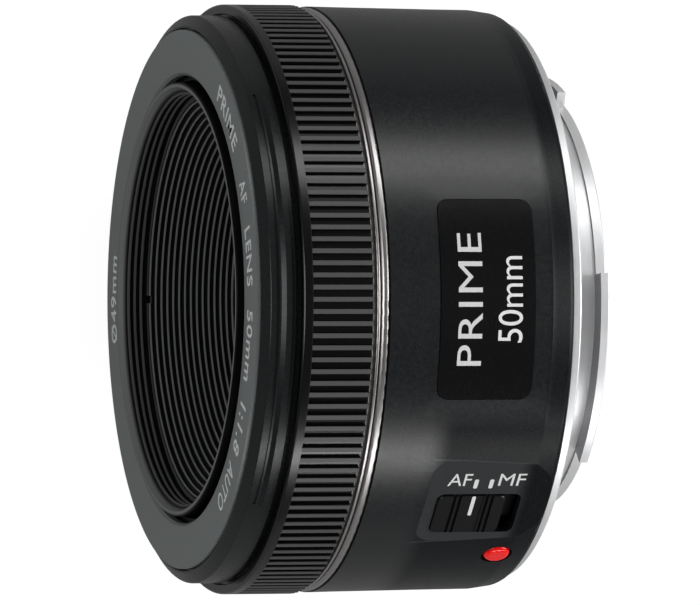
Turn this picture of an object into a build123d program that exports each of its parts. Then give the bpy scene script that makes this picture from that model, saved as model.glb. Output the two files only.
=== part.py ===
"""Autofocus prime camera lens, 50 mm class, with a bayonet mount.

The frame is that of a lens on a camera held level: the optical axis is Y, the subject is
towards -Y, the camera towards +Y, and +Z is up.  The origin is the centre of the mount's seat.
Places along the axis are given as "ahead", the distance in front of the seat, so y = -ahead.
Angles round the axis are measured from the top, +Z, towards +X.
"""
import os
from math import atan2, cos, degrees, hypot, radians, sin, sqrt

from build123d import *

# ---- driving dimensions, mm and degrees -----------------------------------------------------
TOTAL_LENGTH = 39.3          # seat to the front rim of the inner barrel
MAX_RADIUS = 34.6            # over the ribs of the focus ring
FACE = 38.7                  # front face of the name ring
NAME_RING_R = (26.25, 31.6)

SLEEVE_R = 33.3              # front cylinder that carries the hood ribs
SLEEVE_BEVEL = (32.05, 38.35)        # inner edge of the bevel round its front
SKIRT_R = 32.72              # bearing on which the focus ring turns
HOOD_RIB_R = 33.65
HOOD_RIB_HALF_ARC = 45.0
HOOD_RIB_REAR, HOOD_RIB_CREST, HOOD_RIB_FOOT = 35.07, 35.75, 36.5
HOOD_RIB_RELIEF = (33.12, 36.86)     # bottom and front edge of the shallow groove ahead of the rib

RING_BORE = 32.8
RING_FRONT, RING_REAR = 34.0, 25.58
RIB_COUNT = 156
RIB_ROOT_R = 34.1
RIB_FRONT = 32.86
LIP_BORE, LIP_DEPTH = 33.45, 0.5      # counterbore in the ring's front face

BARREL_FRONT_R, BARREL_SHOULDER_R, BARREL_REAR_R = 34.45, 34.2, 33.8
BARREL_FRONT, BARREL_SHOULDER, BARREL_REAR = 23.55, 3.9, 1.04
BARREL_BORE = 32.6
NAMEPLATE_SIZE = (23.0, 11.4)
NAMEPLATE_AHEAD = 11.8       # its middle
NAMEPLATE_CORNER, NAMEPLATE_GAP = 1.4, 0.05
NAMEPLATE_SEAT = 33.85       # radius of the pocket's floor
NAMEPLATE_PROUD = 0.10       # height over the barrel

SWITCH_ANGLE = 43.8
FACET_DISTANCE = 33.69       # flat facet, measured from the axis
FACET_FRONT, FACET_WIDTH, FACET_CORNER = 16.5, 13.0, 2.2
SLOT_SIZE = (6.2, 10.2)
SLOT_OFFSET, SLOT_AHEAD = 2.0, 9.8
KNOB_SIZE = (5.9, 8.2)
KNOB_ROOT, KNOB_TOP = 31.7, 33.95    # distances from the axis
KNOB_GROOVES = (-2.15, -1.5, 1.75, 2.4)
KNOB_GROOVE_SIZE = (0.36, 0.4)       # width, depth
KNOB_VALLEY = (0.2, 2.3, 0.12)       # shallow dip that carries the index line: middle, width, depth
SLIDER_ROOT, SWITCH_BOARD_ROOT = 30.7, 29.2
DETENT_OFFSET = 5.2                  # detent track beside the slider's middle
SWITCH_TRAVEL = 1.85
DOT_ANGLE, DOT_AHEAD, DOT_R = 60.5, 5.2, 1.6
DOT_SEAT = 33.3                      # distance of the dot's flat back from the axis

FLANGE_R = 33.0
NECK_R, NECK_BORE, NECK_END = 24.2, 22.6, -5.8
NECK_BAND_R, NECK_BAND = 24.5, -4.5    # raised band behind the tabs' front faces
TAB_R, TAB_FRONT, TAB_REAR = 26.45, -4.45, -5.5
TAB_ARCS = ((-6.7, 52.8), (118.0, 54.0), (238.0, 55.0))      # first angle, arc
MOUNT_SCREW_R = 30.0
MOUNT_SCREW_ANGLES = (10, 100, 190, 280)
LOCK_SLOT_R, LOCK_SLOT_ANGLE = 30.2, 250.0
PIN_COUNT, PIN_STEP, PIN_R, PIN_TIP = 7, 6.0, 19.9, -5.75
CONTACT_ANGLE = 180.0                # middle of the contact block
CONTACT_SCREW_SIDES = (-29.0, 29.0)  # either side of that middle, on the circle of the pins
CONTACT_BLOCK_R, CONTACT_BLOCK_ARC = (18.2, 21.6), 50.0
BAFFLE_WALL_R, BAFFLE_END = 21.6, -5.5
FLEX_R = 20.7                        # where the contacts' flex passes through the baffle

INNER_BARREL_R = 25.4
THREAD_MINOR_R, THREAD_MAJOR_R, THREAD_PITCH = 24.1, 24.45, 0.75
THREAD_TURNS = 3
BAFFLE_RIDGES = 22
BAFFLE_FIRST = (23.35, 35.77)        # radius and place of the first ridge
BAFFLE_STEP = (0.485, 0.59)          # step inward and rearward for each ridge
CAVITY_R = 24.8                      # hollow behind the funnel, closed by the lens carrier's flange
FOCUS_TRAVEL = 10.4

GUIDE_R = (20.3, 21.6)
CAM_R = (21.7, 23.0)
CAM_TURN = 84.0                      # turn of the cam ring over the whole focus travel
ROLLER_R, ROLLER_AHEAD = 1.2, 11.0
ROLLER_ANGLES = (30, 150, 270)
CARRIER_SCREW_R = 22.8               # screw circle, in line with the rollers
CARRIER_BORE = 18.7                  # holds both lens cells and the iris
CAM_TEETH, CAM_MODULE = 118, 0.4
IDLER_SMALL_TEETH = 14
IDLER_LARGE_TEETH, PINION_TEETH, FINE_MODULE = 28, 10, 0.3
IDLER_ANGLE = 341.0
MOTOR_R = 28.5                       # distance of the focus motor's shaft from the axis
MOTOR_HOLES = ((2.2, 4.4), (-2.2, 4.4))      # its two screw holes, from the shaft
MESH_SLACK = 0.03                    # extra distance between meshing centres

SLEEVE_SCREW_ANGLES = (20, 140, 260)
BARREL_SCREW_ANGLES = (80, 200, 320)
PLATE_SCREW_ANGLES = (311, 353)
BOARD_SCREW_ANGLES = (140, 230)
CHASSIS_SCREW_R = 29.9
ENCODER_ANGLE, ENCODER_AHEAD = 230.0, 27.15
# place and size of each chip on the main board: angle, radius, (radial, tangential), height
CHIPS = ((120, 26.2, (6.5, 6.5), 0.9), (155, 27.0, (4.0, 5.0), 0.8),
         (213, 26.6, (5.0, 5.0), 0.8), (247, 26.6, (3.0, 7.0), 1.0))

IRIS_TEETH = 96
IRIS_MOTOR_ANGLE = 120.0
BLADES = 7
BLADE_PIVOT_R = 12.9
BLADE_OPEN_R, BLADE_OUTER_R = 8.7, 12.2
BLADE_TURN, IRIS_RING_TURN = 36.0, 18.0
BLADE_PIN_START = 30.0               # drive pin's place beyond the blade's pivot, iris open
BLADE_SHEET, BLADE_LEVEL = 0.10, 0.15
BLADE_FIRST = 8.75
PIVOT_PIN_R, DRIVE_PIN_R = 0.4, 0.35

os.makedirs("parts", exist_ok=True)


# ---- helpers --------------------------------------------------------------------------------
def save(piece, name):
    """Label a finished piece and write it to its own file."""
    piece.part.label = name
    export_step(piece.part, f"parts/{name}.step")


def axial_plane(angle):
    """Plane through the axis at an angle: local x is radial, local y is +Y."""
    a = radians(angle)
    return Plane(origin=(0, 0, 0), x_dir=(sin(a), 0, cos(a)), z_dir=(-cos(a), 0, sin(a)))


def radial_plane(angle, distance, ahead):
    """Plane square to a radius: local x runs round the axis, local y is +Y, normal outward."""
    a = radians(angle)
    origin = (distance * sin(a), -ahead, distance * cos(a))
    return Plane(origin=origin, x_dir=(cos(a), 0, -sin(a)), z_dir=(sin(a), 0, cos(a)))


def cross_plane(ahead):
    """Plane across the axis, normal towards the subject, local x is X and local y is Z."""
    return Plane.XZ.offset(ahead)


def forward_plane(radius, angle, ahead):
    """Plane across the axis, centred on a point off the axis, normal towards the subject."""
    a = radians(angle)
    origin = (radius * sin(a), -ahead, radius * cos(a))
    return Plane(origin=origin, x_dir=(sin(a), 0, cos(a)), z_dir=(0, -1, 0))


def section(outline, angle=90.0, rounds=None):
    """Half section of a turned piece from (radius, ahead) corners, some of them rounded."""
    with BuildSketch(axial_plane(angle), mode=Mode.PRIVATE) as profile:
        with BuildLine():
            Polyline(*[(r, -s) for r, s in outline], close=True)
        make_face()
    sketch = profile.sketch
    for index, radius in (rounds or {}).items():
        r, s = outline[index]
        a = radians(angle)
        corner = Vector(r * sin(a), -s, r * cos(a))
        vertex = min(sketch.vertices(), key=lambda v: (Vector(*v) - corner).length)
        sketch = fillet_corner(sketch, vertex, radius)
    return sketch


def fillet_corner(sketch, vertex, radius):
    """Round one corner of a flat section."""
    return Sketch() + [face.fillet_2d(radius, [vertex]) for face in sketch.faces()]


def toothed(count, root, tip, root_share, tip_share, phase=0.0):
    """Corners of a toothed outline, each tooth a trapezium, shares being parts of the pitch."""
    pitch = 360.0 / count
    corners = []
    for index in range(count):
        middle = phase + index * pitch
        for radius, share in ((root, -root_share), (tip, -tip_share), (tip, tip_share), (root, root_share)):
            a = radians(middle + share * pitch / 2)
            corners.append((radius * cos(a), radius * sin(a)))
    return corners


def gear_outline(teeth, module, phase=0.0):
    """Outline of a small spur gear with running backlash."""
    pitch_r = teeth * module / 2
    return toothed(teeth, pitch_r - 1.15 * module, pitch_r + 0.9 * module, 0.62, 0.24, phase)


def local_angle(angle):
    """Angle in a cross plane, from local x, of a direction measured from the top."""
    return 90.0 - angle


def spot(radius, angle):
    """Local point in a cross plane."""
    a = radians(angle)
    return (radius * sin(a), radius * cos(a))


def sag(radius, curvature_r):
    """Depth of a spherical surface at a radius, positive when its edge lies to the rear."""
    depth = abs(curvature_r) - sqrt(curvature_r ** 2 - radius ** 2)
    return depth if curvature_r > 0 else -depth


def lens_section(radius, front, front_r, rear, rear_r):
    """Half section of a glass element between two spherical surfaces."""
    with BuildSketch(Plane.XY, mode=Mode.PRIVATE) as profile:
        with BuildLine():
            front_edge = -(front - sag(radius, front_r))
            rear_edge = -(rear - sag(radius, rear_r))
            front_mid = (radius / 2, -(front - sag(radius / 2, front_r)))
            rear_mid = (radius / 2, -(rear - sag(radius / 2, rear_r)))
            ThreePointArc((0, -front), front_mid, (radius, front_edge))
            Line((radius, front_edge), (radius, rear_edge))
            ThreePointArc((radius, rear_edge), rear_mid, (0, -rear))
            Line((0, -rear), (0, -front))
        make_face()
    return profile.sketch


# ---- front shell ----------------------------------------------------------------------------
with BuildPart() as name_ring:
    revolve(section([(NAME_RING_R[0], 37.7), (NAME_RING_R[0], 38.4), (26.55, FACE),
                     (NAME_RING_R[1], FACE), (NAME_RING_R[1], 37.7)]), axis=Axis.Y)
save(name_ring, "name_ring")

with BuildPart() as front_sleeve:
    revolve(section([(27.9, 36.2), (27.9, 37.7), (31.85, 37.7), (31.85, 38.35), SLEEVE_BEVEL,
                     (SLEEVE_R, 37.5), (SLEEVE_R, 34.4), (SKIRT_R, 34.4), (SKIRT_R, 28.2), (32.25, 28.2),
                     (32.25, 26.2), (31.3, 26.2), (31.3, 36.2)],
                    rounds={4: 0.2, 5: 0.2, 6: 0.2}), axis=Axis.Y)
    for middle in (0, 180):
        first = middle - HOOD_RIB_HALF_ARC
        revolve(section([(33.0, HOOD_RIB_REAR), (HOOD_RIB_R, HOOD_RIB_REAR), (HOOD_RIB_R, HOOD_RIB_CREST),
                         (HOOD_RIB_RELIEF[0], HOOD_RIB_FOOT), (33.0, HOOD_RIB_FOOT)], first),
                axis=Axis.Y, revolution_arc=2 * HOOD_RIB_HALF_ARC)
        revolve(section([(HOOD_RIB_RELIEF[0], HOOD_RIB_FOOT), (33.6, HOOD_RIB_FOOT),
                         (33.6, HOOD_RIB_RELIEF[1]), (HOOD_RIB_RELIEF[0], HOOD_RIB_RELIEF[1])], first),
                axis=Axis.Y, revolution_arc=2 * HOOD_RIB_HALF_ARC, mode=Mode.SUBTRACT)
    for angle in SLEEVE_SCREW_ANGLES:
        with BuildSketch(forward_plane(CHASSIS_SCREW_R, angle, 26.2)):
            Circle(1.7)
        extrude(amount=5.0)
        with BuildSketch(forward_plane(CHASSIS_SCREW_R, angle, 26.2)):
            Circle(0.7)
        extrude(amount=4.2, mode=Mode.SUBTRACT)
    with BuildSketch(radial_plane(ENCODER_ANGLE, 30.0, ENCODER_AHEAD)):
        Rectangle(4.4, 1.9)
    extrude(amount=4.0, mode=Mode.SUBTRACT)
save(front_sleeve, "front_sleeve")

with BuildPart() as guide_barrel:
    revolve(section([(GUIDE_R[0], 4.4), (GUIDE_R[1], 4.4), (GUIDE_R[1], 25.0), (31.8, 25.0),
                     (31.8, 26.2), (27.2, 26.2), (27.2, 37.3), (25.7, 37.3), (25.7, 26.2),
                     (GUIDE_R[0], 26.2)]), axis=Axis.Y)
    revolve(section([(21.05, 5.3), (22.0, 5.3), (22.0, 5.95), (21.05, 5.95)]),
            axis=Axis.Y, mode=Mode.SUBTRACT)
    for angle in ROLLER_ANGLES:
        with BuildSketch(radial_plane(angle, 19.0, ROLLER_AHEAD + FOCUS_TRAVEL / 2)):
            SlotCenterToCenter(FOCUS_TRAVEL + 0.6, 2 * ROLLER_R + 0.2, rotation=90)
        extrude(amount=4.0, mode=Mode.SUBTRACT)
    with BuildSketch(cross_plane(25.0)):
        with Locations(*[spot(CHASSIS_SCREW_R, a) for a in SLEEVE_SCREW_ANGLES + BARREL_SCREW_ANGLES]):
            Circle(0.75)
    extrude(amount=1.2, mode=Mode.SUBTRACT)
save(guide_barrel, "guide_barrel")

# ---- rear barrel and its outside fittings ---------------------------------------------------
def barrel_skin(clear):
    """Section of the outer shell layer over the nameplate, standing off the barrel by clear."""
    slope = (BARREL_FRONT_R - BARREL_SHOULDER_R) / (BARREL_FRONT - BARREL_SHOULDER)
    rear, front = BARREL_SHOULDER, 19.0
    front_r = BARREL_SHOULDER_R + slope * (front - rear)
    return section([(NAMEPLATE_SEAT, rear), (BARREL_SHOULDER_R + clear, rear), (front_r + clear, front),
                    (NAMEPLATE_SEAT, front)])


with BuildPart() as nameplate:
    with BuildSketch(Plane.XY.offset(30.0)) as plate_face:
        with Locations((0, -NAMEPLATE_AHEAD)):
            RectangleRounded(*NAMEPLATE_SIZE, NAMEPLATE_CORNER)
    extrude(amount=6.0)
    revolve(barrel_skin(NAMEPLATE_PROUD), axis=Axis.Y, mode=Mode.INTERSECT)
    chamfer(nameplate.faces().sort_by(SortBy.AREA)[-1].edges(), length=0.13)
save(nameplate, "nameplate")

with BuildPart() as nameplate_pocket:
    with BuildSketch(Plane.XY.offset(30.0)):
        with Locations((0, -NAMEPLATE_AHEAD)):
            RectangleRounded(NAMEPLATE_SIZE[0] + 2 * NAMEPLATE_GAP, NAMEPLATE_SIZE[1] + 2 * NAMEPLATE_GAP,
                             NAMEPLATE_CORNER + NAMEPLATE_GAP)
    extrude(amount=6.0)
    revolve(barrel_skin(0.6), axis=Axis.Y, mode=Mode.INTERSECT)

with BuildPart() as rear_barrel:
    revolve(section([(27.0, BARREL_REAR), (BARREL_REAR_R, BARREL_REAR),
                     (BARREL_SHOULDER_R, BARREL_SHOULDER), (BARREL_FRONT_R, BARREL_FRONT),
                     (32.75, BARREL_FRONT), (32.75, 25.6), (31.9, 25.6), (31.9, 20.0),
                     (BARREL_BORE, 20.0), (BARREL_BORE, 2.6), (27.0, 2.6)],
                    rounds={1: 0.8}), axis=Axis.Y)
    for angle in MOUNT_SCREW_ANGLES:
        with BuildSketch(forward_plane(MOUNT_SCREW_R, angle, 2.0)):
            Circle(1.9)
        extrude(amount=3.4)
    for angle in PLATE_SCREW_ANGLES:
        with BuildSketch(forward_plane(CHASSIS_SCREW_R, angle, 2.0)):
            Circle(1.7)
        extrude(amount=1.8)
    for angle in BARREL_SCREW_ANGLES:
        with BuildSketch(forward_plane(31.2, angle, 18.0)):
            Rectangle(3.0, 3.4)
        extrude(amount=7.0)
        with BuildSketch(forward_plane(CHASSIS_SCREW_R, angle, 18.0)):
            Circle(1.7)
        extrude(amount=7.0)
    for side in (-3.1, 7.1):
        with BuildSketch(radial_plane(SWITCH_ANGLE, SWITCH_BOARD_ROOT, 9.95)):
            with Locations((side, 0)):
                Rectangle(0.8, 13.1)
        extrude(amount=3.4)
    with BuildSketch(radial_plane(SWITCH_ANGLE, FACET_DISTANCE, 0)):
        RectangleRounded(FACET_WIDTH, 2 * FACET_FRONT, FACET_CORNER)
    extrude(amount=4.0, mode=Mode.SUBTRACT)
    with BuildSketch(radial_plane(SWITCH_ANGLE, 31.8, SLOT_AHEAD)):
        with Locations((SLOT_OFFSET, 0)):
            RectangleRounded(*SLOT_SIZE, 0.9)
    extrude(amount=4.0, mode=Mode.SUBTRACT)
    with BuildSketch(radial_plane(DOT_ANGLE, DOT_SEAT, DOT_AHEAD)):
        Circle(DOT_R + 0.25)
    extrude(amount=3.0, mode=Mode.SUBTRACT)
    add(nameplate_pocket.part, mode=Mode.SUBTRACT)
    for angle in MOUNT_SCREW_ANGLES:
        with BuildSketch(forward_plane(MOUNT_SCREW_R, angle, 0.5)):
            Circle(0.85)
        extrude(amount=4.4, mode=Mode.SUBTRACT)
    for angle in PLATE_SCREW_ANGLES:
        with BuildSketch(forward_plane(CHASSIS_SCREW_R, angle, 1.6)):
            Circle(0.7)
        extrude(amount=4.0, mode=Mode.SUBTRACT)
    for angle in BOARD_SCREW_ANGLES:
        with BuildSketch(forward_plane(CHASSIS_SCREW_R, angle, 1.5)):
            Circle(0.7)
        extrude(amount=3.0, mode=Mode.SUBTRACT)
    for angle in BARREL_SCREW_ANGLES:
        with BuildSketch(forward_plane(CHASSIS_SCREW_R, angle, 20.8)):
            Circle(0.7)
        extrude(amount=5.0, mode=Mode.SUBTRACT)
save(rear_barrel, "rear_barrel")

with BuildPart() as trim_ring:
    revolve(section([(32.75, BARREL_FRONT), (34.35, BARREL_FRONT), (34.35, 24.55), (33.9, 24.55),
                     (33.9, 24.7), (34.25, 24.7), (34.25, 25.12), (33.9, 25.22), (32.75, 25.22)],
                    rounds={1: 0.42, 2: 0.4, 5: 0.18, 6: 0.18}), axis=Axis.Y)
save(trim_ring, "trim_ring")

with BuildPart() as index_dot:
    with BuildSketch(radial_plane(DOT_ANGLE, DOT_SEAT, DOT_AHEAD)):
        Circle(DOT_R)
    extrude(amount=1.15)
    fillet(index_dot.faces().filter_by(GeomType.PLANE).sort_by(Axis.Z)[-1].edges(), radius=0.7)
save(index_dot, "index_dot")

# ---- focus ring -----------------------------------------------------------------------------
with BuildPart() as focus_ring:
    revolve(section([(RING_BORE, RING_REAR), (RIB_ROOT_R, RING_REAR), (RIB_ROOT_R, RIB_FRONT),
                     (MAX_RADIUS, RIB_FRONT), (MAX_RADIUS, RING_FRONT), (LIP_BORE, RING_FRONT),
                     (LIP_BORE, RING_FRONT - LIP_DEPTH), (RING_BORE, RING_FRONT - LIP_DEPTH)],
                    rounds={4: 0.3, 5: 0.12}), axis=Axis.Y)
    with BuildSketch(cross_plane(RING_REAR)):
        with BuildLine():
            Polyline(*toothed(RIB_COUNT, RIB_ROOT_R - 0.1, MAX_RADIUS, 0.52, 0.38), close=True)
        make_face()
        Circle(RIB_ROOT_R - 0.4, mode=Mode.SUBTRACT)
    extrude(amount=RIB_FRONT - RING_REAR + 0.05)
save(focus_ring, "focus_ring")

with BuildPart() as encoder_strip:
    revolve(section([(32.5, 26.4), (RING_BORE, 26.4), (RING_BORE, 27.9), (32.5, 27.9)]), axis=Axis.Y)
    with BuildSketch(cross_plane(26.4)):
        with PolarLocations(32.6, 60):
            Rectangle(0.6, 1.6)
    extrude(amount=1.1, mode=Mode.SUBTRACT)
save(encoder_strip, "encoder_strip")

with BuildPart() as encoder_sensor:
    with BuildSketch(radial_plane(ENCODER_ANGLE, 30.3, ENCODER_AHEAD)):
        Rectangle(4.0, 1.5)
    extrude(amount=1.9)
    with BuildSketch(radial_plane(ENCODER_ANGLE, 32.0, ENCODER_AHEAD)):
        with Locations((-1.0, 0), (1.0, 0)):
            Rectangle(0.8, 0.8)
    extrude(amount=0.4, mode=Mode.SUBTRACT)
save(encoder_sensor, "encoder_sensor")

with BuildPart() as thrust_washer:
    revolve(section([(32.85, 25.27), (33.6, 25.27), (33.6, 25.5), (32.85, 25.5)]), axis=Axis.Y)
save(thrust_washer, "thrust_washer")

# ---- focus mode switch ----------------------------------------------------------------------
KNOB_AHEAD = SLOT_AHEAD + SLOT_SIZE[1] / 2 - 0.1 - KNOB_SIZE[1] / 2

with BuildPart() as switch_knob:
    with BuildSketch(radial_plane(SWITCH_ANGLE, KNOB_ROOT, KNOB_AHEAD)):
        with Locations((SLOT_OFFSET, 0)):
            RectangleRounded(*KNOB_SIZE, 0.75)
    extrude(amount=KNOB_TOP - KNOB_ROOT)
    chamfer(switch_knob.faces().filter_by(GeomType.PLANE).sort_by(SortBy.AREA)[-1].edges(), length=0.12)
    for place in KNOB_GROOVES:
        with BuildSketch(radial_plane(SWITCH_ANGLE, KNOB_TOP - KNOB_GROOVE_SIZE[1], KNOB_AHEAD)):
            with Locations((SLOT_OFFSET, place)):
                Rectangle(KNOB_SIZE[0], KNOB_GROOVE_SIZE[0])
        extrude(amount=1.0, mode=Mode.SUBTRACT)
    with BuildSketch(radial_plane(SWITCH_ANGLE, KNOB_TOP - KNOB_VALLEY[2], KNOB_AHEAD)):
        with Locations((SLOT_OFFSET, KNOB_VALLEY[0])):
            Rectangle(KNOB_SIZE[0], KNOB_VALLEY[1])
    extrude(amount=1.0, mode=Mode.SUBTRACT)
save(switch_knob, "switch_knob")

with BuildPart() as switch_slider:
    with BuildSketch(radial_plane(SWITCH_ANGLE, SLIDER_ROOT, KNOB_AHEAD)):
        with Locations((SLOT_OFFSET, 0)):
            RectangleRounded(8.6, 12.0, 0.5)
    extrude(amount=1.0)
    with BuildSketch(radial_plane(SWITCH_ANGLE, SLIDER_ROOT, KNOB_AHEAD)):
        with Locations((DETENT_OFFSET, 0), (DETENT_OFFSET, -SWITCH_TRAVEL)):
            Circle(0.55)
    extrude(amount=0.4, mode=Mode.SUBTRACT)
save(switch_slider, "switch_slider")

with BuildPart() as switch_wiper:
    with BuildSketch(radial_plane(SWITCH_ANGLE, 30.5, KNOB_AHEAD)):
        with Locations((1.0, 0)):
            Rectangle(4.0, 5.0)
        with Locations((0.2, -2.8), (1.8, -2.8)):
            Rectangle(0.9, 2.6)
    extrude(amount=0.2)
    with BuildSketch(radial_plane(SWITCH_ANGLE, 30.15, KNOB_AHEAD)):
        with Locations((0.2, -3.6), (1.8, -3.6)):
            Circle(0.35)
    extrude(amount=0.4)
save(switch_wiper, "switch_wiper")

with BuildPart() as switch_board:
    with BuildSketch(radial_plane(SWITCH_ANGLE, SWITCH_BOARD_ROOT, 9.95)):
        with Locations((SLOT_OFFSET, 0)):
            Rectangle(9.2, 13.0)
    extrude(amount=0.8)
save(switch_board, "switch_board")

with BuildPart() as detent_spring:
    with BuildSketch(radial_plane(SWITCH_ANGLE, 30.15, 10.4)):
        with Locations((DETENT_OFFSET, 0)):
            Rectangle(1.2, 11.0)
    extrude(amount=0.15)
    with BuildSketch(radial_plane(SWITCH_ANGLE, 30.0, 10.4)):
        with Locations((DETENT_OFFSET, -5.0), (DETENT_OFFSET, 5.0)):
            Rectangle(1.2, 1.0)
    extrude(amount=0.2)
    with BuildSketch(radial_plane(SWITCH_ANGLE, 30.2, KNOB_AHEAD)):
        with Locations((DETENT_OFFSET, 0)):
            Circle(0.4)
    extrude(amount=0.42)
save(detent_spring, "detent_spring")

# ---- bayonet mount and contacts -------------------------------------------------------------
with BuildPart() as mount_ring:
    revolve(section([(NECK_BORE, BARREL_REAR), (FLANGE_R, BARREL_REAR), (FLANGE_R, 0), (NECK_R, 0),
                     (NECK_R, NECK_BAND), (NECK_BAND_R, NECK_BAND), (NECK_BAND_R, NECK_END),
                     (NECK_BORE, NECK_END)], rounds={2: 0.25, 5: 0.08, 6: 0.2}), axis=Axis.Y)
    for first, arc in TAB_ARCS:
        revolve(section([(NECK_R - 0.6, TAB_FRONT), (TAB_R, TAB_FRONT), (TAB_R, TAB_REAR),
                         (NECK_R - 0.6, TAB_REAR)], first, rounds={1: 0.12, 2: 0.15}),
                axis=Axis.Y, revolution_arc=arc)
    for angle in MOUNT_SCREW_ANGLES:
        with Locations(forward_plane(MOUNT_SCREW_R, angle, 0)):
            Cylinder(0.85, 2.0, align=(Align.CENTER, Align.CENTER, Align.MIN), mode=Mode.SUBTRACT)
            Cone(1.7, 0.85, 0.8, align=(Align.CENTER, Align.CENTER, Align.MIN), mode=Mode.SUBTRACT)
    with BuildSketch(forward_plane(LOCK_SLOT_R, LOCK_SLOT_ANGLE, 0)):
        SlotOverall(3.4, 2.4, rotation=90)
    extrude(amount=0.9, mode=Mode.SUBTRACT)
save(mount_ring, "mount_ring")

with BuildPart() as mount_screws:
    for angle in MOUNT_SCREW_ANGLES:
        with Locations(forward_plane(MOUNT_SCREW_R, angle, 0.04)):
            Cone(1.6, 0.85, 0.76, align=(Align.CENTER, Align.CENTER, Align.MIN))
        with Locations(forward_plane(MOUNT_SCREW_R, angle, 0.5)):
            Cylinder(0.84, 4.2, align=(Align.CENTER, Align.CENTER, Align.MIN))
        for turn in (0, 90):
            with BuildSketch(forward_plane(MOUNT_SCREW_R, angle, 0)):
                Rectangle(1.7, 0.35, rotation=turn)
            extrude(amount=0.5, mode=Mode.SUBTRACT)
save(mount_screws, "mount_screws")

with BuildPart() as rear_baffle:
    revolve(section([(14.0, -0.9), (14.0, -0.1), (NECK_BORE, -0.1), (NECK_BORE, BAFFLE_END),
                     (BAFFLE_WALL_R, BAFFLE_END), (BAFFLE_WALL_R, -0.9)]), axis=Axis.Y)
    with BuildSketch(cross_plane(-1.2)):
        with Locations((0, -FLEX_R)):
            Rectangle(10.6, 1.0)
    extrude(amount=1.6, mode=Mode.SUBTRACT)
    for side in CONTACT_SCREW_SIDES:
        with BuildSketch(forward_plane(PIN_R, CONTACT_ANGLE + side, -1.2)):
            Circle(0.6)
        extrude(amount=1.6, mode=Mode.SUBTRACT)
save(rear_baffle, "rear_baffle")

with BuildPart() as contact_block:
    revolve(section([(CONTACT_BLOCK_R[0], -0.9), (CONTACT_BLOCK_R[1], -0.9), (CONTACT_BLOCK_R[1], -5.65),
                     (CONTACT_BLOCK_R[0], -5.65)], CONTACT_ANGLE - CONTACT_BLOCK_ARC / 2),
            axis=Axis.Y, revolution_arc=CONTACT_BLOCK_ARC)
    for side in CONTACT_SCREW_SIDES:
        with BuildSketch(forward_plane(PIN_R, CONTACT_ANGLE + side, -2.6)):
            Circle(1.7)
        extrude(amount=1.7)
        with BuildSketch(forward_plane(PIN_R, CONTACT_ANGLE + side, -2.8)):
            Circle(0.6)
        extrude(amount=2.2, mode=Mode.SUBTRACT)
    for index in range(PIN_COUNT):
        angle = CONTACT_ANGLE + (index - (PIN_COUNT - 1) / 2) * PIN_STEP
        with BuildSketch(forward_plane(PIN_R, angle, PIN_TIP)):
            Circle(0.5)
        extrude(amount=1.65, mode=Mode.SUBTRACT)
save(contact_block, "contact_block")

with BuildPart() as contact_pins:
    for index in range(PIN_COUNT):
        angle = CONTACT_ANGLE + (index - (PIN_COUNT - 1) / 2) * PIN_STEP
        with Locations(forward_plane(PIN_R, angle, PIN_TIP)):
            Cylinder(0.5, 1.65, align=(Align.CENTER, Align.CENTER, Align.MIN))
save(contact_pins, "contact_pins")

with BuildPart() as contact_screws:
    for side in CONTACT_SCREW_SIDES:
        with Locations(forward_plane(PIN_R, CONTACT_ANGLE + side, -3.2)):
            Cylinder(1.2, 0.6, align=(Align.CENTER, Align.CENTER, Align.MIN))
            Cylinder(0.58, 3.0, align=(Align.CENTER, Align.CENTER, Align.MIN))
save(contact_screws, "contact_screws")

with BuildPart() as contact_flex:
    with BuildSketch(axial_plane(CONTACT_ANGLE).offset(-5.0)):
        with BuildLine():
            Polyline((FLEX_R - 0.1, 0.85), (FLEX_R + 0.1, 0.85), (FLEX_R + 0.1, -3.4), (26.0, -3.4),
                     (26.0, -3.6), (FLEX_R - 0.1, -3.6), close=True)
        make_face()
    extrude(amount=10.0)
save(contact_flex, "contact_flex")

# ---- electronics and focus drive ------------------------------------------------------------
with BuildPart() as main_board:
    revolve(section([(22.0, 2.6), (32.2, 2.6), (32.2, 3.4), (22.0, 3.4)], 66.0),
            axis=Axis.Y, revolution_arc=202.0)
    for angle in MOUNT_SCREW_ANGLES:
        with BuildSketch(forward_plane(MOUNT_SCREW_R, angle, 2.0)):
            Circle(2.1)
            with Locations((2.2, 0)):
                Rectangle(4.4, 4.2)
        extrude(amount=2.0, mode=Mode.SUBTRACT)
    for angle in BOARD_SCREW_ANGLES:
        with BuildSketch(forward_plane(CHASSIS_SCREW_R, angle, 2.0)):
            Circle(0.75)
        extrude(amount=2.0, mode=Mode.SUBTRACT)
save(main_board, "main_board")

with BuildPart() as control_chips:
    for angle, radius, size, height in CHIPS:
        with BuildSketch(forward_plane(radius, angle, 3.4)):
            Rectangle(*size)
        extrude(amount=height)
save(control_chips, "control_chips")

cam_pitch_r = CAM_TEETH * CAM_MODULE / 2
idler_pitch_r = IDLER_SMALL_TEETH * CAM_MODULE / 2
idler_r = cam_pitch_r + idler_pitch_r + MESH_SLACK
motor_gap = (IDLER_LARGE_TEETH + PINION_TEETH) * FINE_MODULE / 2 + MESH_SLACK
motor_turn = degrees(2 * atan2(sqrt(motor_gap ** 2 - (MOTOR_R - idler_r) ** 2) / 2,
                               sqrt(MOTOR_R * idler_r)))
MOTOR_ANGLE = IDLER_ANGLE - motor_turn
idler_at = spot(idler_r, IDLER_ANGLE)
motor_at = spot(MOTOR_R, MOTOR_ANGLE)
to_motor = degrees(atan2(motor_at[1] - idler_at[1], motor_at[0] - idler_at[0]))

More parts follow.
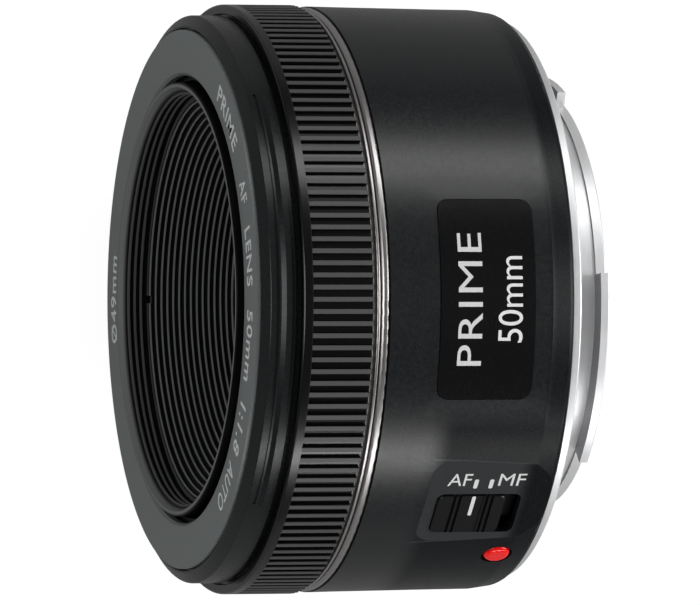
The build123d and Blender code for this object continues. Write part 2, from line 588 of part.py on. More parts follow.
with BuildPart() as cam_ring:
    revolve(section([(CAM_R[0], 6.2), (CAM_R[1], 6.2), (CAM_R[1], 24.6), (CAM_R[0], 24.6)]), axis=Axis.Y)
    with BuildSketch(cross_plane(6.4)):
        with BuildLine():
            Polyline(*toothed(CAM_TEETH, cam_pitch_r - 0.46, cam_pitch_r + 0.36, 0.62, 0.26,
                              local_angle(IDLER_ANGLE)), close=True)
        make_face()
        Circle(CAM_R[1] - 0.3, mode=Mode.SUBTRACT)
    extrude(amount=1.6)
    segments = 8
    arc_length = radians(CAM_TURN) * (CAM_R[0] + CAM_R[1]) / 2
    helix = degrees(atan2(FOCUS_TRAVEL, arc_length))
    for start in ROLLER_ANGLES:
        for index in range(segments):
            share = (index + 0.5) / segments
            plane = radial_plane(start - CAM_TURN * share, 20.0, ROLLER_AHEAD + FOCUS_TRAVEL * share)
            with BuildSketch(plane):
                SlotCenterToCenter(hypot(arc_length, FOCUS_TRAVEL) / segments + 0.4,
                                   2 * ROLLER_R + 0.24, rotation=helix)
            extrude(amount=5.0, mode=Mode.SUBTRACT)
save(cam_ring, "cam_ring")

with BuildPart() as cam_retainer:
    revolve(section([(21.05, 5.35), (22.5, 5.35), (22.5, 5.9), (21.05, 5.9)], IDLER_ANGLE + 24),
            axis=Axis.Y, revolution_arc=312.0)
save(cam_retainer, "cam_retainer")

with BuildPart() as gear_plate:
    revolve(section([(22.2, 3.8), (32.0, 3.8), (32.0, 4.5), (22.2, 4.5)], 307.0),
            axis=Axis.Y, revolution_arc=50.0)
    with BuildSketch(cross_plane(4.4)):
        with Locations(idler_at):
            Circle(0.8)
    extrude(amount=3.9)
    with BuildSketch(forward_plane(MOTOR_R, MOTOR_ANGLE, 4.4)):
        with Locations(*MOTOR_HOLES):
            Circle(1.1)
    extrude(amount=3.9)
    with BuildSketch(forward_plane(MOTOR_R, MOTOR_ANGLE, 4.0)):
        with Locations(*MOTOR_HOLES):
            Circle(0.5)
    extrude(amount=5.0, mode=Mode.SUBTRACT)
    with BuildSketch(cross_plane(3.5)):
        with Locations(*[spot(CHASSIS_SCREW_R, a) for a in PLATE_SCREW_ANGLES]):
            Circle(0.75)
    extrude(amount=1.4, mode=Mode.SUBTRACT)
save(gear_plate, "gear_plate")

with BuildPart() as chassis_screws:
    # angle, place of the head's seat, side that the head is on, length of the thread
    screw_places = [(a, 25.0, -1, 2.6) for a in SLEEVE_SCREW_ANGLES]
    screw_places += [(a, 26.2, 1, 2.6) for a in BARREL_SCREW_ANGLES]
    screw_places += [(a, 4.5, 1, 2.6) for a in PLATE_SCREW_ANGLES]
    screw_places += [(a, 3.4, 1, 1.6) for a in BOARD_SCREW_ANGLES]
    for angle, seat, way, reach in screw_places:
        with BuildSketch(forward_plane(CHASSIS_SCREW_R, angle, seat)):
            Circle(1.3)
        extrude(amount=0.8 * way)
        with BuildSketch(forward_plane(CHASSIS_SCREW_R, angle, seat)):
            Circle(0.68)
        extrude(amount=-reach * way)
        with BuildSketch(forward_plane(CHASSIS_SCREW_R, angle, seat + 0.8 * way)):
            Rectangle(1.4, 0.3)
            Rectangle(0.3, 1.4)
        extrude(amount=-0.4 * way, mode=Mode.SUBTRACT)
save(chassis_screws, "chassis_screws")

with BuildPart() as focus_motor:
    with BuildSketch(forward_plane(MOTOR_R, MOTOR_ANGLE, 8.3)):
        Circle(3.4)
        with Locations((0, 3.2)):
            RectangleRounded(6.6, 5.0, 1.0)
        with Locations(*MOTOR_HOLES):
            Circle(0.55, mode=Mode.SUBTRACT)
    extrude(amount=0.5)
    with BuildSketch(forward_plane(MOTOR_R, MOTOR_ANGLE, 8.7)):
        Circle(3.5)
    extrude(amount=9.6)
    with BuildSketch(forward_plane(MOTOR_R, MOTOR_ANGLE, 18.2)):
        Circle(1.4)
    extrude(amount=0.6)
    with BuildSketch(forward_plane(MOTOR_R, MOTOR_ANGLE, 12.0)):
        with Locations((0, 3.6)):
            Rectangle(3.0, 1.6)
    extrude(amount=4.0)
    with BuildSketch(forward_plane(MOTOR_R, MOTOR_ANGLE, 8.0)):
        Circle(0.55)
    extrude(amount=10.3, mode=Mode.SUBTRACT)
save(focus_motor, "focus_motor")

with BuildPart() as motor_pinion:
    to_idler = to_motor + 180 - local_angle(MOTOR_ANGLE)
    with BuildSketch(forward_plane(MOTOR_R, MOTOR_ANGLE, 4.8)):
        with BuildLine():
            Polyline(*gear_outline(PINION_TEETH, FINE_MODULE, to_idler - 180 / PINION_TEETH), close=True)
        make_face()
    extrude(amount=1.1)
    with BuildSketch(forward_plane(MOTOR_R, MOTOR_ANGLE, 4.7)):
        Circle(0.5)
    extrude(amount=13.4)
save(motor_pinion, "motor_pinion")

with BuildPart() as idler_gear:
    with BuildSketch(forward_plane(idler_r, IDLER_ANGLE, 4.9)):
        with BuildLine():
            Polyline(*gear_outline(IDLER_LARGE_TEETH, FINE_MODULE, to_motor - local_angle(IDLER_ANGLE)),
                     close=True)
        make_face()
    extrude(amount=0.9)
    with BuildSketch(forward_plane(idler_r, IDLER_ANGLE, 5.7)):
        with BuildLine():
            Polyline(*gear_outline(IDLER_SMALL_TEETH, CAM_MODULE, 180 - 180 / IDLER_SMALL_TEETH),
                     close=True)
        make_face()
    extrude(amount=2.3)
    with BuildSketch(forward_plane(idler_r, IDLER_ANGLE, 4.8)):
        Circle(0.85)
    extrude(amount=4.0, mode=Mode.SUBTRACT)
save(idler_gear, "idler_gear")

# ---- lens unit ------------------------------------------------------------------------------
IRIS_PINION_R = (IRIS_TEETH + PINION_TEETH) * FINE_MODULE / 2 + MESH_SLACK


def inner_barrel_outline():
    """Rim, filter thread and ridged funnel in front, plain wall behind."""
    corners = [(INNER_BARREL_R, 26.7), (INNER_BARREL_R, 39.15), (25.25, TOTAL_LENGTH),
               (24.85, TOTAL_LENGTH), (24.6, 38.7), (THREAD_MAJOR_R, 38.45)]
    for turn in range(THREAD_TURNS):
        crest = 38.1 - turn * THREAD_PITCH
        corners += [(THREAD_MINOR_R, crest + 0.08), (THREAD_MINOR_R, crest - 0.08),
                    (THREAD_MAJOR_R, crest - 0.3), (THREAD_MAJOR_R, crest - 0.45)]
    corners.append((THREAD_MAJOR_R, BAFFLE_FIRST[1] + 0.1))
    for ridge in range(BAFFLE_RIDGES):
        tip_r = BAFFLE_FIRST[0] - ridge * BAFFLE_STEP[0]
        tip_s = BAFFLE_FIRST[1] - ridge * BAFFLE_STEP[1]
        corners += [(tip_r + 0.25, tip_s + 0.1), (tip_r, tip_s), (tip_r, tip_s - 0.12),
                    (tip_r + 0.02, tip_s - 0.4)]
    corners += [(13.2, 22.9), (14.3, 22.9), (24.2, 34.6), (CAVITY_R, 34.6), (CAVITY_R, 26.7)]
    return corners


with BuildPart() as inner_barrel:
    revolve(section(inner_barrel_outline()), axis=Axis.Y)
    for angle in ROLLER_ANGLES:
        with BuildSketch(forward_plane(CARRIER_SCREW_R, angle, 27.8)):
            Circle(1.5)
        extrude(amount=4.4)
        with BuildSketch(forward_plane(CARRIER_SCREW_R, angle, 27.8)):
            Circle(0.55)
        extrude(amount=3.0, mode=Mode.SUBTRACT)
    with BuildSketch(cross_plane(35.45)):
        with Locations((0, -23.7)):
            Rectangle(0.9, 1.6)
    extrude(amount=0.6, mode=Mode.SUBTRACT)
save(inner_barrel, "inner_barrel")

with BuildPart() as lens_carrier:
    revolve(section([(CARRIER_BORE, 4.6), (20.0, 4.6), (20.0, 26.6), (CAVITY_R, 26.6), (CAVITY_R, 27.8),
                     (CARRIER_BORE, 27.8)]), axis=Axis.Y)
    for angle in ROLLER_ANGLES:
        with BuildSketch(radial_plane(angle, 17.0, ROLLER_AHEAD)):
            Circle(0.7)
        extrude(amount=5.0, mode=Mode.SUBTRACT)
        with Locations(forward_plane(CARRIER_SCREW_R, angle, 26.6)):
            Cylinder(0.55, 1.2, align=(Align.CENTER, Align.CENTER, Align.MIN), mode=Mode.SUBTRACT)
            Cone(1.05, 0.55, 0.6, align=(Align.CENTER, Align.CENTER, Align.MIN), mode=Mode.SUBTRACT)
save(lens_carrier, "lens_carrier")

with BuildPart() as carrier_screws:
    for angle in ROLLER_ANGLES:
        with Locations(forward_plane(CARRIER_SCREW_R, angle, 26.6)):
            Cone(1.05, 0.55, 0.6, align=(Align.CENTER, Align.CENTER, Align.MIN))
        with Locations(forward_plane(CARRIER_SCREW_R, angle, 27.0)):
            Cylinder(0.55, 3.4, align=(Align.CENTER, Align.CENTER, Align.MIN))
        with BuildSketch(forward_plane(CARRIER_SCREW_R, angle, 26.6)):
            Rectangle(1.2, 0.25)
            Rectangle(0.25, 1.2)
        extrude(amount=0.35, mode=Mode.SUBTRACT)
save(carrier_screws, "carrier_screws")

with BuildPart() as cam_rollers:
    for angle in ROLLER_ANGLES:
        with BuildSketch(radial_plane(angle, 18.75, ROLLER_AHEAD)):
            Circle(0.7)
        extrude(amount=2.0)
        with BuildSketch(radial_plane(angle, 20.05, ROLLER_AHEAD)):
            Circle(ROLLER_R)
        extrude(amount=2.75)
save(cam_rollers, "cam_rollers")

with BuildPart() as front_cell:
    revolve(section([(14.6, 22.3), (15.6, 22.3), (15.6, 21.5), (CARRIER_BORE, 21.5),
                     (CARRIER_BORE, 20.0), (15.6, 20.0), (15.6, 14.4), (12.4, 13.4), (12.4, 9.75),
                     (9.9, 9.75), (9.9, 9.95), (10.6, 9.95), (10.6, 14.95), (12.0, 14.95),
                     (12.0, 17.05), (12.6, 17.05), (12.6, 19.75), (13.4, 19.75), (13.4, 21.5),
                     (14.6, 21.5)]), axis=Axis.Y)
save(front_cell, "front_cell")

with BuildPart() as front_retainer:
    revolve(section([(12.9, 21.7), (13.4, 21.7), (13.4, 21.5), (14.6, 21.5), (14.6, 22.3), (13.3, 22.3)]),
            axis=Axis.Y)
    with BuildSketch(cross_plane(22.0)):
        with PolarLocations(14.0, 2):
            Rectangle(1.4, 0.8)
    extrude(amount=0.4, mode=Mode.SUBTRACT)
save(front_retainer, "front_retainer")

with BuildPart() as lens_spacer:
    revolve(section([(11.2, 17.1), (12.6, 17.1), (12.6, 19.7), (11.2, 19.7)]), axis=Axis.Y)
save(lens_spacer, "lens_spacer")

# radius, front vertex, its curvature radius, rear vertex, its curvature radius
ELEMENTS = ((13.4, 24.0, 36, 20.4, 150), (12.0, 19.8, 24, 16.2, 60), (10.6, 15.4, 90, 14.2, 15.5),
            (10.0, 3.2, -20, 2.2, 60), (10.0, 2.2, 60, -1.4, -22), (10.8, -1.8, 120, -4.2, -45))
for number, shape in enumerate(ELEMENTS, start=1):
    with BuildPart() as element:
        revolve(lens_section(*shape), axis=Axis.Y)
    save(element, f"lens_element_{number}")

with BuildPart() as rear_cell:
    revolve(section([(10.0, 5.6), (CARRIER_BORE, 5.6), (CARRIER_BORE, 4.6), (13.4, 4.6), (13.4, 0.0),
                     (12.6, -4.3), (11.6, -4.3), (11.6, -2.95), (10.8, -2.95), (10.8, -2.1),
                     (9.4, -2.1), (9.4, 0.65), (10.0, 0.65)]), axis=Axis.Y)
    with BuildSketch(forward_plane(IRIS_PINION_R, IRIS_MOTOR_ANGLE, 4.6)):
        Circle(0.6)
    extrude(amount=1.0, mode=Mode.SUBTRACT)
save(rear_cell, "rear_cell")

with BuildPart() as rear_retainer:
    revolve(section([(9.9, -3.75), (10.4, -3.1), (10.7, -3.1), (10.7, -2.98), (11.6, -2.98),
                     (11.6, -3.75)]), axis=Axis.Y)
save(rear_retainer, "rear_retainer")

# ---- iris -----------------------------------------------------------------------------------
def blade_angle(index):
    """Place of a blade's pivot, in a cross plane."""
    return index * 360.0 / BLADES


def polar(radius, angle):
    """Local point in a cross plane from a local angle."""
    a = radians(angle)
    return (radius * cos(a), radius * sin(a))


def drive_slot_points():
    """Path of the drive pin in the blade's own frame, pivot on local x, iris opening to closing."""
    points = []
    for step in range(7):
        share = step / 6
        a = BLADE_PIN_START - IRIS_RING_TURN * share
        back = radians(-BLADE_TURN * share)
        x, y = polar(BLADE_PIVOT_R, a)
        x -= BLADE_PIVOT_R
        points.append((BLADE_PIVOT_R + x * cos(back) - y * sin(back), x * sin(back) + y * cos(back)))
    return points


def blade_sheet(level):
    """One iris blade, its pivot on local x."""
    path = drive_slot_points()
    with BuildPart(mode=Mode.PRIVATE) as blade:
        with BuildSketch(cross_plane(BLADE_FIRST - level * BLADE_LEVEL)):
            with BuildLine():
                inner_from, inner_mid, inner_to = (polar(BLADE_OPEN_R, a) for a in (-9, 45, 99))
                outer_to, outer_mid, outer_from = (polar(BLADE_OUTER_R, a) for a in (96, 45, -6))
                ThreePointArc(inner_from, inner_mid, inner_to)
                Line(inner_to, outer_to)
                ThreePointArc(outer_to, outer_mid, outer_from)
                Line(outer_from, inner_from)
            make_face()
            with Locations((BLADE_PIVOT_R, 0)):
                Circle(1.3)
            with Locations(*path):
                Circle(1.15)
            with BuildLine():
                Polyline((BLADE_PIVOT_R, 0), *reversed(path), polar(BLADE_OUTER_R - 1.5, BLADE_PIN_START),
                         polar(BLADE_OUTER_R - 1.5, 0), close=True)
            make_face()
            with Locations((BLADE_PIVOT_R, 0)):
                Circle(PIVOT_PIN_R + 0.05, mode=Mode.SUBTRACT)
        extrude(amount=BLADE_SHEET)
        for first, second in zip(path, path[1:]):
            run = hypot(second[0] - first[0], second[1] - first[1])
            turn = degrees(atan2(second[1] - first[1], second[0] - first[0]))
            with BuildSketch(cross_plane(BLADE_FIRST - level * BLADE_LEVEL)):
                with Locations(((first[0] + second[0]) / 2, (first[1] + second[1]) / 2)):
                    SlotCenterToCenter(run, 2 * DRIVE_PIN_R + 0.16, rotation=turn)
            extrude(amount=BLADE_SHEET, mode=Mode.SUBTRACT)
    return blade.part


with BuildPart() as iris_base:
    revolve(section([(9.0, 9.0), (9.0, 9.6), (CARRIER_BORE, 9.6), (CARRIER_BORE, 6.6), (17.9, 6.6),
                     (17.9, 9.0)]), axis=Axis.Y)
    with BuildSketch(cross_plane(7.72)):
        with Locations(*[polar(BLADE_PIVOT_R, blade_angle(i)) for i in range(BLADES)]):
            Circle(PIVOT_PIN_R)
    extrude(amount=1.4)
save(iris_base, "iris_base")

with BuildPart() as iris_cover:
    revolve(section([(9.0, 6.0), (CARRIER_BORE, 6.0), (CARRIER_BORE, 6.6), (11.75, 6.6), (11.75, 7.5),
                     (11.0, 7.5), (11.0, 6.6), (9.0, 6.6)]), axis=Axis.Y)
    with BuildSketch(forward_plane(IRIS_PINION_R, IRIS_MOTOR_ANGLE, 6.0)):
        Circle(0.6)
    extrude(amount=0.6, mode=Mode.SUBTRACT)
save(iris_cover, "iris_cover")

with BuildPart() as iris_ring:
    revolve(section([(11.8, 6.9), (14.1, 6.9), (14.1, 7.6), (11.8, 7.6)]), axis=Axis.Y)
    with BuildSketch(cross_plane(6.95)):
        with BuildLine():
            Polyline(*gear_outline(IRIS_TEETH, FINE_MODULE, local_angle(IRIS_MOTOR_ANGLE)), close=True)
        make_face()
        Circle(13.8, mode=Mode.SUBTRACT)
    extrude(amount=0.6)
    with BuildSketch(cross_plane(7.5)):
        with Locations(*[polar(BLADE_PIVOT_R, blade_angle(i) + BLADE_PIN_START) for i in range(BLADES)]):
            Circle(DRIVE_PIN_R)
    extrude(amount=1.4)
save(iris_ring, "iris_ring")

for index in range(BLADES):
    with BuildPart() as iris_blade:
        add(blade_sheet(index).rotate(Axis.Y, -blade_angle(index)))
    save(iris_blade, f"iris_blade_{index + 1}")

with BuildPart() as iris_pinion:
    with BuildSketch(forward_plane(IRIS_PINION_R, IRIS_MOTOR_ANGLE, 6.95)):
        with BuildLine():
            Polyline(*gear_outline(PINION_TEETH, FINE_MODULE, 180 - 180 / PINION_TEETH), close=True)
        make_face()
    extrude(amount=0.6)
    with BuildSketch(forward_plane(IRIS_PINION_R, IRIS_MOTOR_ANGLE, 1.2)):
        Circle(0.4)
    extrude(amount=6.5)
save(iris_pinion, "iris_pinion")

with BuildPart() as iris_motor:
    with BuildSketch(forward_plane(IRIS_PINION_R, IRIS_MOTOR_ANGLE, 0.5)):
        Circle(2.5)
    extrude(amount=4.1)
    with BuildSketch(forward_plane(IRIS_PINION_R, IRIS_MOTOR_ANGLE, 1.1)):
        Circle(0.45)
    extrude(amount=3.5, mode=Mode.SUBTRACT)
save(iris_motor, "iris_motor")
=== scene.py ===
"""Looks of the prime camera lens: camera, light, finishes, printed marks and floor.

The optical axis is Y, the subject is towards -Y and the camera body towards +Y.  "Ahead" is the
distance in front of the mount's seat, so y = -ahead, and angles go round the axis from the top,
+Z, towards +X, where the focus mode switch is.  Everything is in metres.
"""
from math import cos, pi, radians, sin

import bmesh
import bpy
from mathutils import Matrix, Vector


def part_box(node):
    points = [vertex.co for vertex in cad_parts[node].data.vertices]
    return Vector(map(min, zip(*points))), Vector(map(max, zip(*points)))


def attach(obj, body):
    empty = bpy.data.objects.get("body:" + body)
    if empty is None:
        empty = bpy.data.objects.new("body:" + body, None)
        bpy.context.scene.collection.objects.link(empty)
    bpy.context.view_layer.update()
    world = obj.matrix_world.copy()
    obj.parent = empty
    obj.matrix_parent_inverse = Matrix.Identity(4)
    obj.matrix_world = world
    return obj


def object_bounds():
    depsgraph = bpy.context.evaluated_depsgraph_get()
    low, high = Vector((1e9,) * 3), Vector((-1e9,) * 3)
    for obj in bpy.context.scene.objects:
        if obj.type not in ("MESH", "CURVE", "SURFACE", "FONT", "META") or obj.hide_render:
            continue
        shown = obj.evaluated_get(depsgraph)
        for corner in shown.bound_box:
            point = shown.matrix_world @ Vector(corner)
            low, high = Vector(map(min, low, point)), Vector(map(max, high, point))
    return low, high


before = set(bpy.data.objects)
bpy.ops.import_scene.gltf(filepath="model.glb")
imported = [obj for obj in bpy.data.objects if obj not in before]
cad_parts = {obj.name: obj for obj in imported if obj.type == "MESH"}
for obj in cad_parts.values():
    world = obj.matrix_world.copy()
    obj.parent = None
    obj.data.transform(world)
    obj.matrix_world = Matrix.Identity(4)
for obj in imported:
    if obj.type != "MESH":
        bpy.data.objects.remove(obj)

CAD_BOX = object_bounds()
MM = 0.001

# ---- places taken from the frame --------------------------------------------------------------
FACE_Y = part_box("name_ring")[0].y
plate_low, plate_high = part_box("nameplate")
PLATE_TOP_R = plate_high.z
knob_low, knob_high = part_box("switch_knob")
KNOB_Y = (knob_low.y + knob_high.y) / 2
ring_low, ring_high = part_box("focus_ring")

# ---- measures of the CAD that no box shows ----------------------------------------------------
PLATE_TAPER = 0.135 * MM             # the nameplate's top comes down this much towards the rear
SWITCH_ANGLE = radians(43.8)         # of the facet that carries the switch
FACET_DISTANCE = 33.69 * MM          # of the facet from the optical axis
FACET_FRONT_Y = -16.9 * MM
KNOB_VALLEY = 33.83 * MM             # floor of the shallow valley across the knob
KNOB_OFFSET = 2.0 * MM               # middle of the knob, round the axis from the facet's middle
KNOB_WIDTH = 5.9 * MM
SWITCH_TRAVEL = 1.85 * MM
SHOULDER_Y = (-4.6 * MM, -3.2 * MM)  # the paint changes over to the rear shoulder's
SLEEVE_Y = (-34.2 * MM, -31.0 * MM)  # the sleeve's plastic changes over to the barrel's paint
RIM_Y = (-38.9 * MM, -38.4 * MM)     # rear edge of the inner barrel's rim
RIM_OUTER_R = 25.15 * MM             # edge of its face that is painted pale, a painted highlight
THREAD_INNER_R = 23.6 * MM           # the funnel is inside this, the filter thread outside
THREAD_CREST_R = 24.2 * MM
FUNNEL_FIRST_Y, FUNNEL_PITCH = -35.84 * MM, 0.59 * MM      # first ridge's crest, and their step
LIP_Y = ring_low.y + 1.05 * MM       # rear edge of the focus ring's plain lip
# each band of the trim ring, front to rear: start and end of the front rounding, then of the rear one
TRIM_FRONT_BAND = (-25.12 * MM, -24.94 * MM, -24.88 * MM, -24.70 * MM)
TRIM_REAR_BAND = (-24.55 * MM, -24.15 * MM, -23.97 * MM, -23.55 * MM)
TRIM_GAP_Y = (-24.72 * MM, -24.55 * MM)
INK = 0.012 * MM                     # height of a printed mark over its surface
RING_BASELINE_R = 27.75 * MM         # of the words on the name ring


# ---- camera -----------------------------------------------------------------------------------
def make_camera():
    """Long lens looking down on the object, leaning 17 degrees towards its front."""
    lean, distance, aim_ahead, lift = radians(17.06), 1194.75 * MM, 17.89 * MM, 0.367 * MM
    forward = Vector((0, sin(lean), -cos(lean)))
    right = Vector((0, cos(lean), sin(lean)))
    up = Vector((-1, 0, 0))
    data = bpy.data.cameras.new("camera")
    data.sensor_width, data.lens = 36.0, 521.6
    data.clip_start, data.clip_end = 0.05, 20.0
    camera = bpy.data.objects.new("camera", data)
    bpy.context.scene.collection.objects.link(camera)
    place = Matrix((right, up, -forward)).transposed().to_4x4()
    place.translation = Vector((lift, -aim_ahead, 0)) - forward * distance
    camera.matrix_world = place
    bpy.context.scene.camera = camera


# ---- light and floor --------------------------------------------------------------------------
def softbox(name, angle, distance, size, radiance, ahead):
    """Panel with its long side along the optical axis, facing it from an angle round it."""
    data = bpy.data.lights.new(name, "AREA")
    data.shape = "RECTANGLE"
    data.size, data.size_y = size
    data.energy = radiance * pi * size[0] * size[1]
    light = bpy.data.objects.new(name, data)
    bpy.context.scene.collection.objects.link(light)
    place = Vector((sin(angle) * distance, -ahead, cos(angle) * distance))
    back = place.normalized()
    side = Vector((0, 1, 0)).cross(back).normalized()
    turn = Matrix((side, back.cross(side), back)).transposed().to_4x4()
    turn.translation = place
    light.matrix_world = turn
    light.visible_camera = False


def make_world():
    """White to the eye; for lighting it is dim, so that the softboxes shape the object."""
    world = bpy.data.worlds.new("studio")
    bpy.context.scene.world = world
    world.use_nodes = True
    nodes, links = world.node_tree.nodes, world.node_tree.links
    nodes.clear()
    out = nodes.new("ShaderNodeOutputWorld")
    mix = nodes.new("ShaderNodeMixShader")
    seen = nodes.new("ShaderNodeBackground")
    seen.inputs["Color"].default_value = (1, 1, 1, 1)
    seen.inputs["Strength"].default_value = 1.0
    lit = nodes.new("ShaderNodeBackground")
    path = nodes.new("ShaderNodeLightPath")
    coords = nodes.new("ShaderNodeTexCoord")
    split = nodes.new("ShaderNodeSeparateXYZ")
    fade = nodes.new("ShaderNodeMapRange")
    fade.interpolation_type = "SMOOTHSTEP"
    fade.inputs["From Min"].default_value = 0.15
    fade.inputs["From Max"].default_value = 0.8
    fade.inputs["To Min"].default_value = 0.06
    fade.inputs["To Max"].default_value = 0.05
    links.new(coords.outputs["Generated"], split.inputs[0])
    links.new(split.outputs["Z"], fade.inputs["Value"])
    links.new(fade.outputs[0], lit.inputs["Strength"])
    links.new(path.outputs["Is Camera Ray"], mix.inputs[0])
    links.new(lit.outputs[0], mix.inputs[1])
    links.new(seen.outputs[0], mix.inputs[2])
    links.new(mix.outputs[0], out.inputs["Surface"])


def make_floor():
    """Plain white floor, lit partly from within, so that shadows on it stay faint."""
    mesh = bpy.data.meshes.new("floor")
    half = 4.0
    level = CAD_BOX[0].z - 0.05 * MM     # just clear of the lens
    mesh.from_pydata([(-half, -half, level), (half, -half, level), (half, half, level),
                      (-half, half, level)], [], [(0, 1, 2, 3)])
    floor = bpy.data.objects.new("floor", mesh)
    bpy.context.scene.collection.objects.link(floor)
    r = Recipe("floor_white", (0.15, 0.15, 0.15), 0.9, Specular_IOR_Level=0.0,
               Emission_Color=(1, 1, 1, 1))
    x, y, _ = r.xyz()
    away = r.maths("SQRT", r.maths("ADD", r.times(x, x), r.times(y, y)))
    glow = r.step(away, 0.12, 0.5, 0.92, 1.0)
    seen = r.nodes.new("ShaderNodeLightPath").outputs["Is Camera Ray"]
    dim = r.times(r.maths("SUBTRACT", 1.0, seen), 0.12)
    r.feed(r.shader.inputs["Emission Strength"], r.maths("ADD", r.times(glow, seen), dim))
    mesh.materials.append(r.material)


# ---- materials --------------------------------------------------------------------------------
class Recipe:
    """A node material being put together, in object coordinates."""

    def __init__(self, name, colour, roughness, **sockets):
        self.material = bpy.data.materials.new(name)
        self.material.use_nodes = True
        self.nodes = self.material.node_tree.nodes
        self.links = self.material.node_tree.links
        self.shader = self.nodes["Principled BSDF"]
        self.shader.inputs["Base Color"].default_value = (*colour, 1)
        self.shader.inputs["Roughness"].default_value = roughness
        for socket, value in sockets.items():
            self.shader.inputs[socket.replace("_", " ")].default_value = value
        self.coords = self.nodes.new("ShaderNodeTexCoord").outputs["Object"]
        self.parts = None
        self.relief = None

    def xyz(self):
        """The coordinates one by one."""
        if self.parts is None:
            split = self.nodes.new("ShaderNodeSeparateXYZ")
            self.links.new(self.coords, split.inputs[0])
            self.parts = split.outputs
        return self.parts

    def feed(self, socket, value):
        """A number or another node's output into a socket."""
        if isinstance(value, bpy.types.NodeSocket):
            self.links.new(value, socket)
        else:
            socket.default_value = value

    def maths(self, operation, first, second=0.0):
        node = self.nodes.new("ShaderNodeMath")
        node.operation = operation
        self.feed(node.inputs[0], first)
        self.feed(node.inputs[1], second)
        return node.outputs[0]

    def times(self, first, *others):
        """The product of all of them."""
        for other in others:
            first = self.maths("MULTIPLY", first, other)
        return first

    def radius(self):
        """Distance from the optical axis."""
        x, _, z = self.xyz()
        return self.maths("SQRT", self.maths("ADD", self.times(x, x), self.times(z, z)))

    def turned(self):
        """Coordinates that do not change round the optical axis, for marks left by turning."""
        node = self.nodes.new("ShaderNodeCombineXYZ")
        self.feed(node.inputs[0], self.radius())
        self.feed(node.inputs[1], self.xyz()[1])
        return node.outputs[0]

    def noise(self, size, detail=2.0, coords=None, rough=0.5):
        """Noise whose features are about size across, 0 to 1."""
        node = self.nodes.new("ShaderNodeTexNoise")
        node.inputs["Scale"].default_value = 1 / size
        node.inputs["Detail"].default_value = detail
        node.inputs["Roughness"].default_value = rough
        self.links.new(coords or self.coords, node.inputs["Vector"])
        return node.outputs[0]

    def step(self, value, low, high, to_low=0.0, to_high=1.0):
        """A smooth step in a value from low to high."""
        node = self.nodes.new("ShaderNodeMapRange")
        node.interpolation_type = "SMOOTHSTEP"
        for socket, number in zip(node.inputs[:5], (value, low, high, to_low, to_high)):
            self.feed(socket, number)
        return node.outputs[0]

    def ramp(self, value, low, high):
        """0 at low, 1 at high, straight between."""
        node = self.nodes.new("ShaderNodeMapRange")
        for socket, number in zip(node.inputs[:3], (value, low, high)):
            self.feed(socket, number)
        return node.outputs[0]

    def band(self, value, low, high, soft):
        """1 between low and high, 0 outside them, with soft edges inside."""
        return self.times(self.step(value, low, low + soft), self.step(value, high - soft, high, 1.0, 0.0))

    def mix(self, share, first, second):
        """A colour between two others."""
        node = self.nodes.new("ShaderNodeMix")
        node.data_type = "RGBA"
        self.feed(node.inputs["Factor"], share)
        for socket, value in ((node.inputs[6], first), (node.inputs[7], second)):
            self.feed(socket, value if isinstance(value, bpy.types.NodeSocket) else (*value, 1))
        return node.outputs[2]

    def colour(self, value):
        self.feed(self.shader.inputs["Base Color"], value)
        return self

    def rough(self, value):
        self.feed(self.shader.inputs["Roughness"], value)
        return self

    def bump(self, height, depth):
        """Relief of a real depth, over any relief already there."""
        node = self.nodes.new("ShaderNodeBump")
        node.inputs["Distance"].default_value = depth
        self.links.new(height, node.inputs["Height"])
        if self.relief is not None:
            self.links.new(self.relief, node.inputs["Normal"])
        self.relief = node.outputs[0]
        self.links.new(self.relief, self.shader.inputs["Normal"])
        return self


